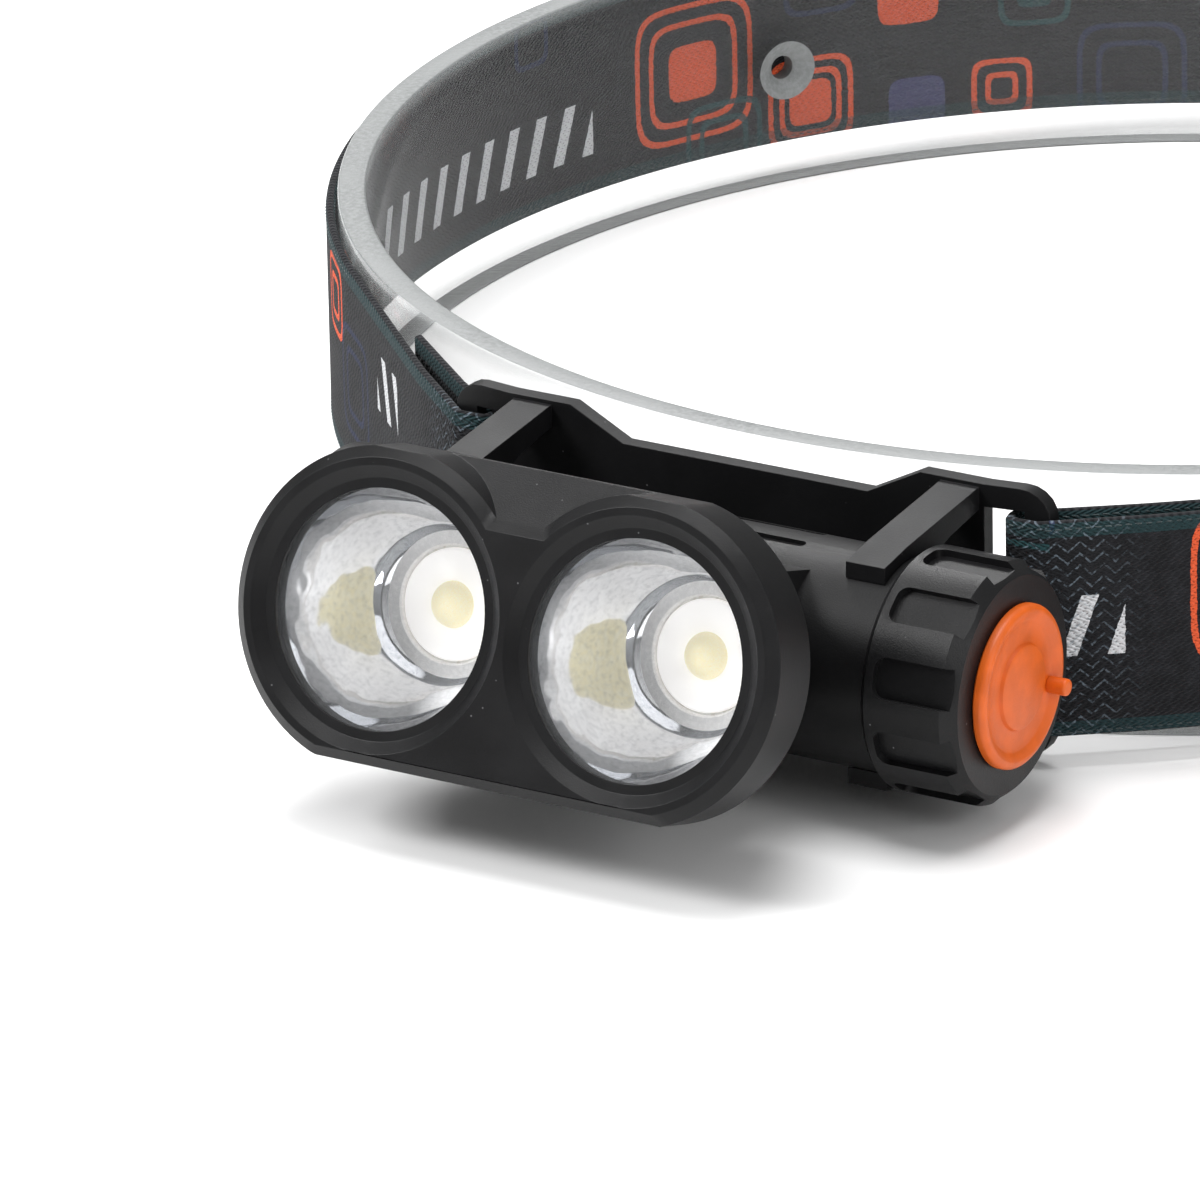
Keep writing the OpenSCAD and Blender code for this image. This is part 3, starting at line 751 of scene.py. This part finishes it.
def stitch_tree(finish):
    """Geometry Nodes: stitches of a given length and thickness along curves, one every pitch."""
    tree = bpy.data.node_groups.new("stitches", "GeometryNodeTree")
    tree.interface.new_socket("Geometry", in_out="INPUT", socket_type="NodeSocketGeometry")
    tree.interface.new_socket("Geometry", in_out="OUTPUT", socket_type="NodeSocketGeometry")
    for name, default in (("Pitch", 1.6), ("Length", 1.0), ("Thickness", 0.3), ("Lean", 0.0)):
        item = tree.interface.new_socket(name, in_out="INPUT", socket_type="NodeSocketFloat")
        item.default_value = default * (1 if name == "Lean" else MM)

    def add(kind, settings=None, inputs=None):
        node = tree.nodes.new(kind)
        for name, value in (settings or {}).items():
            setattr(node, name, value)
        for name, value in (inputs or {}).items():
            if isinstance(value, bpy.types.NodeSocket):
                tree.links.new(value, node.inputs[name])
            else:
                node.inputs[name].default_value = value
        return node

    given = add("NodeGroupInput").outputs
    curve = add("GeometryNodeMeshToCurve", None, {"Mesh": given["Geometry"]})
    points = add("GeometryNodeCurveToPoints", {"mode": "LENGTH"},
                 {"Curve": curve.outputs[0], "Length": given["Pitch"]})
    bead = add("GeometryNodeMeshUVSphere", None, {"Segments": 6, "Rings": 4, "Radius": 0.5})
    shape = add("ShaderNodeCombineXYZ", None, {"X": given["Thickness"], "Y": given["Thickness"],
                                               "Z": given["Length"]})
    lean = add("ShaderNodeCombineXYZ", None, {"Y": given["Lean"]})
    turned = add("FunctionNodeRotateRotation", {"rotation_space": "LOCAL"},
                 {"Rotation": points.outputs["Rotation"]})
    to_rotation = add("FunctionNodeEulerToRotation", None, {"Euler": lean.outputs[0]})
    tree.links.new(to_rotation.outputs[0], turned.inputs[1])
    placed = add("GeometryNodeInstanceOnPoints", None,
                 {"Points": points.outputs["Points"], "Instance": bead.outputs[0],
                  "Rotation": turned.outputs[0], "Scale": shape.outputs[0]})
    real = add("GeometryNodeRealizeInstances", None, {"Geometry": placed.outputs[0]})
    smooth = add("GeometryNodeSetShadeSmooth", None, {"Geometry": real.outputs[0]})
    dressed = add("GeometryNodeSetMaterial", None, {"Geometry": smooth.outputs[0],
                                                    "Material": finish_named(finish)})
    out = add("NodeGroupOutput")
    tree.links.new(dressed.outputs[0], out.inputs[0])
    return tree


def line_mesh(lines):
    """Open lines of points, in metres, as a mesh of edges."""
    mesh = bpy.data.meshes.new("lines")
    points, edges = [], []
    for line in lines:
        edges += [(len(points) + i, len(points) + i + 1) for i in range(len(line) - 1)]
        points += [tuple(p) for p in line]
    mesh.from_pydata(points, edges, [])
    return mesh


def stitched(name, lines, finish, pitch, length, thick, lean=0.0):
    """Stitches along lines, made by the stitches tree and turned into a plain mesh."""
    piece = bpy.data.objects.new(name, line_mesh(lines))
    bpy.context.scene.collection.objects.link(piece)
    rows = piece.modifiers.new("stitches", "NODES")
    rows.node_group = stitch_tree(finish)
    values = {"Pitch": pitch * MM, "Length": length * MM, "Thickness": thick * MM, "Lean": lean}
    for item in rows.node_group.interface.items_tree:
        if item.in_out == "INPUT" and item.name in values:
            rows[item.identifier] = values[item.name]
    applied(piece)
    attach(piece, "headband")
    return piece


def beside_strap(offset, height, start, end):
    """A line on the webbing: offset from its middle and height in mm, between two indexes."""
    line = []
    for i in range(start, end):
        spot = STRAP_LINE[i] + sideways(STRAP_LINE, i) * offset
        line.append((spot.x * MM, spot.y * MM, height * MM))
    return line


# ---------------------------------------------------------------- settings


class LampSizes(bpy.types.PropertyGroup):
    """Sizes of the optics, in millimetres from the tube's axis"""
    gap: bpy.props.FloatProperty(name="Lens gap", description="Distance between the lens axes", default=31.6)
    drop: bpy.props.FloatProperty(name="Lens drop", description="Lens axes below the tube's axis",
                                  default=0.6)
    opening_r: bpy.props.FloatProperty(name="Opening", description="Radius of the bezel's openings",
                                       default=13.0)
    glass_r: bpy.props.FloatProperty(name="Pane", description="Radius of the lens panes", default=14.6)
    glass_back: bpy.props.FloatProperty(name="Pane rear", description="Rear face of the panes", default=33.8)
    cup_depth: bpy.props.FloatProperty(name="Cup depth", description="Depth of the reflectors", default=12.9)
    cup_base_r: bpy.props.FloatProperty(name="Cup base", description="Radius of the cup's flat floor",
                                        default=8.0)
    cup_bottom: bpy.props.FloatProperty(name="Cup floor", description="Rear face of the reflectors",
                                        default=19.9)
    led_hole_r: bpy.props.FloatProperty(name="LED hole", description="Hole round the LED seat", default=6.4)
    cover_r: bpy.props.FloatProperty(name="Cover", description="Radius of the charging cover", default=9.05)
    cover_x: bpy.props.FloatProperty(name="Cover place", description="End face of the cap", default=41.92)


class LampEdges(bpy.types.PropertyGroup):
    """Edge roundings of the moulded parts, in millimetres"""
    bezel: bpy.props.FloatProperty(name="Bezel edge", description="Rounding of the bezel", default=0.3, min=0)
    casing: bpy.props.FloatProperty(name="Casing edge", description="Rounding of the lamp body",
                                    default=0.45, min=0)
    cap: bpy.props.FloatProperty(name="Cap edge", description="Rounding of the battery cap",
                                 default=0.35, min=0)
    bracket: bpy.props.FloatProperty(name="Bracket edge", description="Rounding of the bracket",
                                     default=0.4, min=0)
    slider: bpy.props.FloatProperty(name="Slider edge", description="Rounding of the slider",
                                    default=0.25, min=0)
    ring: bpy.props.FloatProperty(name="Ring edge", description="Rounding of the ring's rims",
                                  default=0.3, min=0)


class StageLook(bpy.types.PropertyGroup):
    """Floor, light and camera"""
    floor: bpy.props.FloatVectorProperty(name="Floor colour", description="Colour of the plain floor",
                                         subtype="COLOR", size=3, default=(0.9, 0.9, 0.9))
    sky: bpy.props.FloatProperty(name="Sky", description="Strength of the even white sky",
                                 default=0.62, min=0)
    azimuth: bpy.props.FloatProperty(name="Camera turn", description="Camera's turn round the lamp",
                                     subtype="ANGLE", default=math.radians(31.29))
    elevation: bpy.props.FloatProperty(name="Camera height", description="Camera's angle above the floor",
                                       subtype="ANGLE", default=math.radians(21.45))
    roll: bpy.props.FloatProperty(name="Camera roll", description="Camera's roll", subtype="ANGLE",
                                  default=math.radians(-1.138))
    distance: bpy.props.FloatProperty(name="Camera distance", description="From the lamp's axis",
                                      unit="LENGTH",
                                      subtype="DISTANCE", default=1.334)


# ---------------------------------------------------------------- operators


class HEADLAMP_OT_optics(bpy.types.Operator):
    """Make the reflectors, LED seats and LEDs"""
    bl_idname = "headlamp.optics"
    bl_label = "Optics"

    def execute(self, context):
        lens = context.scene.lamp_sizes
        for side, word in ((-1, "left"), (1, "right")):
            cup = add_piece(f"polished_cup_{word}", reflector_mesh(lens, side),
                            ["reflector_chrome", "cup_floor"], f"reflector_{word}")
            back_to_lamp = lens_axis(side).inverted()
            for face in cup.data.polygons:
                spot = back_to_lamp @ face.center / MM
                face.material_index = int(math.hypot(spot.x, spot.y) < lens.cup_base_r)
            add_piece(f"led_seat_{word}", led_seat_mesh(lens, side), ["white_plastic"], f"led_gasket_{word}")
            add_piece(f"led_chip_{word}", led_mesh(lens, side), ["phosphor", "resin"], f"led_{word}")
        return {"FINISHED"}


class HEADLAMP_OT_casing(bpy.types.Operator):
    """Round the edges of the lamp body, the bezel, the end plug and the switch button"""
    bl_idname = "headlamp.casing"
    bl_label = "Casing"

    def execute(self, context):
        edges = context.scene.lamp_edges
        bevelled("front_bezel", "bezel", ["bezel_plastic"], edges.bezel)
        bevelled("lamp_body", "casing", ["body_plastic"], edges.casing)
        bevelled("end_plug", "plug_end", ["body_plastic"], edges.cap)
        bevelled("switch_button", "rubber_button", ["black_rubber"], edges.cap)
        return {"FINISHED"}


class HEADLAMP_OT_cap(bpy.types.Operator):
    """Round the battery cap's flutes and make its silicone charging cover"""
    bl_idname = "headlamp.cap"
    bl_label = "Battery cap"

    def execute(self, context):
        sizes = context.scene.lamp_sizes
        bevelled("end_cap", "battery_cap", ["cap_plastic"], context.scene.lamp_edges.cap)
        radius = sizes.cover_r
        disc = [(0, 0), (radius - 0.25, 0), (radius, 0.25), *arc(radius - 0.75, 0.75, 0.75, 0, 105, 10),
                (radius - 1.7, 1.05), (radius - 2.0, 0.92), (5.1, 0.92), (4.85, 1.02), (4.65, 1.38),
                (4.35, 1.52), (0, 1.56)]
        peg = [(0, 0.9), (0.85, 0.9), (0.95, 1.05), (0.95, 2.9), *arc(0.6, 2.95, 0.35, 0, 90, 5), (0, 3.3)]
        plug = [(0, -1.2), (5.0, -1.2), (5.3, -0.9), (5.3, 0.1), (0, 0.1)]
        cover = lathed(disc, cap_axis(sizes.cover_x))
        # Lathe axes stand on the tube: their -X is the lamp's up, and +Y its rear
        parts = [lathed(peg, cap_axis(sizes.cover_x) @ Matrix.Translation((0, 6.7 * MM, 0)), 40),
                 lathed(plug, cap_axis(sizes.cover_x), 64)]
        shell = bmesh.new()
        for mesh in (cover, *parts):
            shell.from_mesh(mesh)
        shell.to_mesh(cover)
        shell.free()
        shade(cover, 32)
        add_piece("silicone_cover", cover, ["cover_orange"], "charge_cover")
        return {"FINISHED"}


class HEADLAMP_OT_bracket(bpy.types.Operator):
    """Round the edges of the bracket and the strap slider"""
    bl_idname = "headlamp.bracket"
    bl_label = "Bracket and slider"

    def execute(self, context):
        edges = context.scene.lamp_edges
        bevelled("bracket", "clip_bracket", ["bracket_plastic"], edges.bracket)
        bevelled("strap_slider", "slider_frame", ["bracket_plastic"], edges.slider)
        return {"FINISHED"}


class HEADLAMP_OT_headband(bpy.types.Operator):
    """Make the elastic webbing with its selvedge stitches and the sewn fold"""
    bl_idname = "headlamp.headband"
    bl_label = "Headband"

    def execute(self, context):
        strap = add_piece("elastic_webbing", strap_mesh(), ["webbing"], "strap_band")
        face = STRAP_T / 2
        last = len(STRAP_LINE)
        edges = [beside_strap(side * face, height, MAIN_START, last)
                 for side in (-1, 1) for height in (-STRAP_W / 2 + 0.7, STRAP_W / 2 - 0.7)]
        stitched("selvedge_stitches", edges, "edge_thread", 1.1, 0.8, 0.16)
        flap = STRAP_LINE[1] - STRAP_LINE[0]
        tack = []
        for share in (0.12, 0.2, 0.28):
            spot = STRAP_LINE[0] + flap * share
            out = Vector((-flap.y, flap.x)).normalized() * (face + 0.02)
            tack += [[((spot + out * side).x * MM, (spot + out * side).y * MM, height * MM)
                      for height in (-10.5, 0, 10.5)] for side in (-1, 1)]
        stitched("fold_stitches", tack, "tack_thread", 1.9, 1.4, 0.35, lean=0.35)
        return {"FINISHED"}


class HEADLAMP_OT_ring(bpy.types.Operator):
    """Make the clear ring with frosted sawn rims and a countersunk hole"""
    bl_idname = "headlamp.ring"
    bl_label = "Clear ring"

    def execute(self, context):
        edge = context.scene.lamp_edges.ring
        low, high = (Vector(corner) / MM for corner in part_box("shape_ring"))
        outer, inner = high.x, high.x - RING_WALL
        section = [*arc(outer - edge, low.z + edge, edge, -90, 0, 3),
                   *arc(outer - edge, high.z - edge, edge, 0, 90, 3),
                   *arc(inner + edge, high.z - edge, edge, 90, 180, 3),
                   *arc(inner + edge, low.z + edge, edge, 180, 270, 3)]
        ring = add_piece("clear_ring", lathed(section, Matrix(), 240), ["acrylic", "sawn_acrylic"],
                         "shape_ring")
        sink = 1.3
        drill = [(0, -1), (HOLE_R, -1), (HOLE_R, RING_WALL - sink), (2 * SINK_R - HOLE_R, RING_WALL + sink),
                 (0, RING_WALL + sink)]
        place = (Matrix.Rotation(math.radians(HOLE_TURN), 4, "Z")
                 @ Matrix.Translation((-outer * MM, 0, HOLE_Z * MM))
                 @ Matrix.Rotation(math.pi / 2, 4, "Y"))
        cutter = bpy.data.objects.new("drill", lathed(drill, place, 48))
        context.scene.collection.objects.link(cutter)
        bored = ring.modifiers.new("drilled hole", "BOOLEAN")
        bored.operation = "DIFFERENCE"
        bored.object = cutter
        applied(ring)
        bpy.data.objects.remove(cutter)
        shade(ring.data, 32)
        for face in ring.data.polygons:
            spot = face.center / MM
            away = math.hypot(spot.x, spot.y)
            face.material_index = int(inner + 0.05 < away < outer - 0.12)
        return {"FINISHED"}


class HEADLAMP_OT_inside(bpy.types.Operator):
    """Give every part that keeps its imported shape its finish"""
    bl_idname = "headlamp.inside"
    bl_label = "Parts inside"

    def execute(self, context):
        kept = {
            "lens_left": "clear_pane", "lens_right": "clear_pane",
            "lens_seal_left": "black_rubber", "lens_seal_right": "black_rubber",
            "led_board_left": "board_white", "led_board_right": "board_white",
            "heat_sink": "aluminium", "driver_board": "board_green", "led_leads": "wire_red",
            "bezel_screws": "zinc_steel", "battery_cell": "cell_wrap", "contact_strip": "brass_strip",
            "battery_spring": "spring_steel", "cap_spring": "spring_steel",
            "switch_board": "board_green", "tact_switch": "switch_black", "cap_seal": "seal_red",
            "charge_board": "board_green", "charge_socket": "zinc_steel"}
        for node, finish in kept.items():
            packed = frame["nodes"][node]
            if not packed.material_slots:
                packed.data.materials.append(None)
            for slot in packed.material_slots:
                slot.material = finish_named(finish)
        return {"FINISHED"}


def soft_light(name, place, target, size, power):
    lamp = bpy.data.lights.new(name, "AREA")
    lamp.shape = "RECTANGLE"
    lamp.size, lamp.size_y = size
    lamp.energy = power
    holder = bpy.data.objects.new(name, lamp)
    holder.location = place
    holder.rotation_euler = (Vector(target) - Vector(place)).to_track_quat("-Z", "Y").to_euler()
    bpy.context.scene.collection.objects.link(holder)


class HEADLAMP_OT_stage(bpy.types.Operator):
    """Make the pale floor, the soft lights and the camera"""
    bl_idname = "headlamp.stage"
    bl_label = "Stage"

    def execute(self, context):
        look = context.scene.stage_look
        floor_finish = Finish("floor", Roughness=0.9, Specular_IOR_Level=0.1)
        cloud = floor_finish.noise(floor_finish.place(), 0.002, 2.0)
        colour = tuple(look.floor)
        floor_finish.set(Base_Color=floor_finish.mix(cloud, colour, toned(colour, 0.99)))
        mesh = bpy.data.meshes.new("floor")
        corners = [(x * FLOOR_HALF, y * FLOOR_HALF, FLOOR_Z) for x, y in ((-1, -1), (1, -1), (1, 1), (-1, 1))]
        mesh.from_pydata(corners, [], [(0, 1, 2, 3)])
        mesh.materials.append(floor_finish.material)
        floor = bpy.data.objects.new("floor", mesh)
        context.scene.collection.objects.link(floor)

        world = bpy.data.worlds.new("white room")
        context.scene.world = world
        world.use_nodes = True
        backdrop = world.node_tree.nodes["Background"]
        nodes, links = world.node_tree.nodes, world.node_tree.links
        where = nodes.new("ShaderNodeTexCoord")
        split = nodes.new("ShaderNodeSeparateXYZ")
        fade = nodes.new("ShaderNodeValToRGB")
        fade.color_ramp.elements[0].position = 0.05
        fade.color_ramp.elements[0].color = (0.22, 0.22, 0.22, 1)
        fade.color_ramp.elements[1].position = 0.75
        fade.color_ramp.elements[1].color = (1, 1, 1, 1)
        links.new(where.outputs["Generated"], split.inputs[0])
        links.new(split.outputs["Z"], fade.inputs[0])
        links.new(fade.outputs[0], backdrop.inputs["Color"])
        backdrop.inputs["Strength"].default_value = look.sky
        context.scene.view_settings.view_transform = "Standard"

        target = TUBE
        soft_light("key", (-0.7, -0.8, 0.9), target, (0.45, 0.45), 13)
        soft_light("fill", (1.0, -0.35, 0.45), target, (0.3, 0.6), 3.5)
        soft_light("rear", (-0.7, 0.8, 0.9), target, (0.5, 0.3), 8)
        soft_light("top", (0.0, -0.1, 1.3), (0, -0.1, 0), (0.7, 0.7), 15)
        self.aim_camera(context, look)
        return {"FINISHED"}

    def aim_camera(self, context, look):
        turn, rise, roll = look.azimuth, look.elevation, look.roll
        right = Vector((math.cos(turn), math.sin(turn), 0))
        up = Vector((-math.sin(turn) * math.sin(rise), math.cos(turn) * math.sin(rise), math.cos(rise)))
        ahead = Vector((-math.sin(turn) * math.cos(rise), math.cos(turn) * math.cos(rise), -math.sin(rise)))
        right, up = (right * math.cos(roll) + up * math.sin(roll),
                     up * math.cos(roll) - right * math.sin(roll))
        data = bpy.data.cameras.new("camera")
        data.lens = CAMERA_LENS
        data.sensor_width = CAMERA_SENSOR
        data.clip_end = 50
        camera = bpy.data.objects.new("camera", data)
        axes = Matrix((right, up, -ahead)).transposed().to_4x4()
        place = TUBE - look.distance * ahead + CAMERA_SHIFT[0] * right + CAMERA_SHIFT[1] * up
        camera.matrix_world = Matrix.Translation(place) @ axes
        context.scene.collection.objects.link(camera)
        context.scene.camera = camera


class HEADLAMP_PT_looks(bpy.types.Panel):
    """Steps that finish the headlamp, in their order"""
    bl_idname = "HEADLAMP_PT_looks"
    bl_label = "Headlamp"
    bl_space_type = "VIEW_3D"
    bl_region_type = "UI"
    bl_category = "Headlamp"

    def draw(self, context):
        for settings in (context.scene.lamp_sizes, context.scene.lamp_edges, context.scene.stage_look):
            box = self.layout.box()
            for name in settings.__annotations__:
                box.prop(settings, name)
        for step in STEPS:
            self.layout.operator(step.bl_idname)


STEPS = (HEADLAMP_OT_optics, HEADLAMP_OT_casing, HEADLAMP_OT_cap, HEADLAMP_OT_bracket,
         HEADLAMP_OT_headband, HEADLAMP_OT_ring, HEADLAMP_OT_inside, HEADLAMP_OT_stage)
SETTINGS = (("lamp_sizes", LampSizes), ("lamp_edges", LampEdges), ("stage_look", StageLook))


def register():
    for _, group in SETTINGS:
        bpy.utils.register_class(group)
    for step in (*STEPS, HEADLAMP_PT_looks):
        bpy.utils.register_class(step)
    for name, group in SETTINGS:
        setattr(bpy.types.Scene, name, bpy.props.PointerProperty(type=group))


def unregister():
    for name, group in reversed(SETTINGS):
        delattr(bpy.types.Scene, name)
        bpy.utils.unregister_class(group)
    for step in (HEADLAMP_PT_looks, *reversed(STEPS)):
        bpy.utils.unregister_class(step)


def main():
    register()
    for step in STEPS:
        area, name = step.bl_idname.split(".")
        getattr(getattr(bpy.ops, area), name)()
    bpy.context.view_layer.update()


if __name__ == "__main__":
    main()
